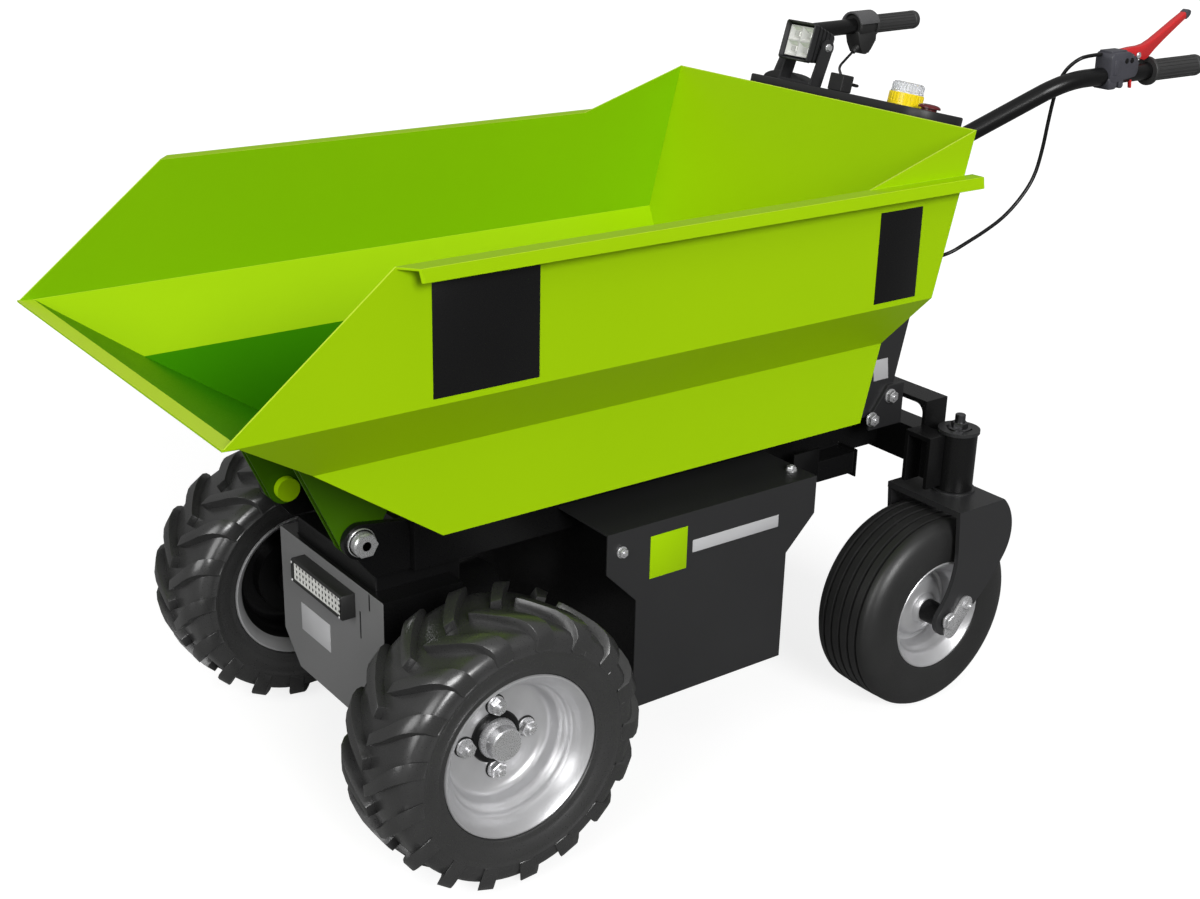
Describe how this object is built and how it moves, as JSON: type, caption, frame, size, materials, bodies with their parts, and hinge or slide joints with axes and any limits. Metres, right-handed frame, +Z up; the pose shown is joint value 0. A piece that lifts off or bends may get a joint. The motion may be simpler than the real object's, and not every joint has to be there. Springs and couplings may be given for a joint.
{
  "type": "power barrow",
  "caption": "Battery power barrow with a forward-tipping folded tub, lugged drive wheels in front, swivel casters behind, a console column and handlebars.",
  "frame": {"origin": "middle of the machine's length and width, on the ground", "axes": "+X forward to the tub's dumping lip, +Y to the machine's left, +Z up"},
  "size_m": [1.7667, 0.794, 1.1023],
  "materials": {
    "green_paint": "gloss",
    "black_paint": "satin",
    "black_plastic": "matte",
    "lamp_body": "satin",
    "cast_grey": "rough",
    "bolt_steel": "satin",
    "rim_steel": "satin",
    "tyre_rubber": "matte",
    "rest_rubber": "matte",
    "red_plastic": "gloss",
    "amber_plastic": "gloss",
    "clear_lens": "clear"
  },
  "bodies": {
    "chassis": {"frame_rails": "black_paint", "front_cross_tube": "black_paint", "pivot_ears": "black_paint", "rear_beam": "black_paint", "swivel_tubes": "black_paint", "rear_hoop": "black_paint", "front_cover": "black_paint", "battery_tray": "black_paint", "battery_cover_left": "black_paint", "battery_cover_right": "black_paint", "console_column": "black_paint", "handlebars": "black_paint", "work_lamp_bracket": "black_paint", "console_panel": "black_plastic", "cable_gland": "black_plastic", "lever_bracket": "black_plastic", "throttle": "black_plastic", "light_bar": "black_plastic", "battery": "black_plastic", "work_lamp": "lamp_body", "drive_housing": "cast_grey", "axle_tubes": "cast_grey", "drive_motor": "cast_grey", "pivot_bolts": "bolt_steel", "tub_rests": "rest_rubber", "grips": "rest_rubber", "lever_cable": "rest_rubber", "throttle_cable": "rest_rubber", "brake_lever": "red_plastic", "stop_button": "red_plastic", "beacon": "amber_plastic", "beacon_lens": "clear_lens", "light_bar_lens": "clear_lens", "work_lamp_lens": "clear_lens"},
    "tub": {"tub_floor": "green_paint", "tub_rear_wall": "green_paint", "tub_left_side": "green_paint", "tub_right_side": "green_paint", "tub_ribs": "green_paint"},
    "front_left_wheel": {"front_left_tyre": "tyre_rubber", "front_left_rim": "rim_steel", "front_left_hub": "bolt_steel"},
    "caster_left": {"caster_left_fork": "black_paint", "caster_left_axle": "bolt_steel"},
    "caster_left_wheel": {"caster_left_tyre": "tyre_rubber", "caster_left_rim": "rim_steel"},
    "front_right_wheel": {"front_right_tyre": "tyre_rubber", "front_right_rim": "rim_steel", "front_right_hub": "bolt_steel"},
    "caster_right": {"caster_right_fork": "black_paint", "caster_right_axle": "bolt_steel"},
    "caster_right_wheel": {"caster_right_tyre": "tyre_rubber", "caster_right_rim": "rim_steel"}
  },
  "joints": [
    {"name": "tub_tip", "type": "hinge", "parent": "chassis", "child": "tub", "pos_m": [0.6, 0, 0.45], "axis": [0, 1, 0], "range_deg": [0, 80]},
    {"name": "front_left_spin", "type": "hinge", "parent": "chassis", "child": "front_left_wheel", "pos_m": [0.503, 0.316, 0.205], "axis": [0, 1, 0], "continuous": true},
    {"name": "front_right_spin", "type": "hinge", "parent": "chassis", "child": "front_right_wheel", "pos_m": [0.503, -0.316, 0.205], "axis": [0, 1, 0], "continuous": true},
    {"name": "caster_left_swivel", "type": "hinge", "parent": "chassis", "child": "caster_left", "pos_m": [-0.408, 0.3, 0.4], "axis": [0, 0, 1], "continuous": true},
    {"name": "caster_left_spin", "type": "hinge", "parent": "caster_left", "child": "caster_left_wheel", "pos_m": [-0.335, 0.3, 0.166], "axis": [0, 1, 0], "continuous": true},
    {"name": "caster_right_swivel", "type": "hinge", "parent": "chassis", "child": "caster_right", "pos_m": [-0.408, -0.3, 0.4], "axis": [0, 0, 1], "continuous": true},
    {"name": "caster_right_spin", "type": "hinge", "parent": "caster_right", "child": "caster_right_wheel", "pos_m": [-0.335, -0.3, 0.166], "axis": [0, 1, 0], "continuous": true}
  ]
}
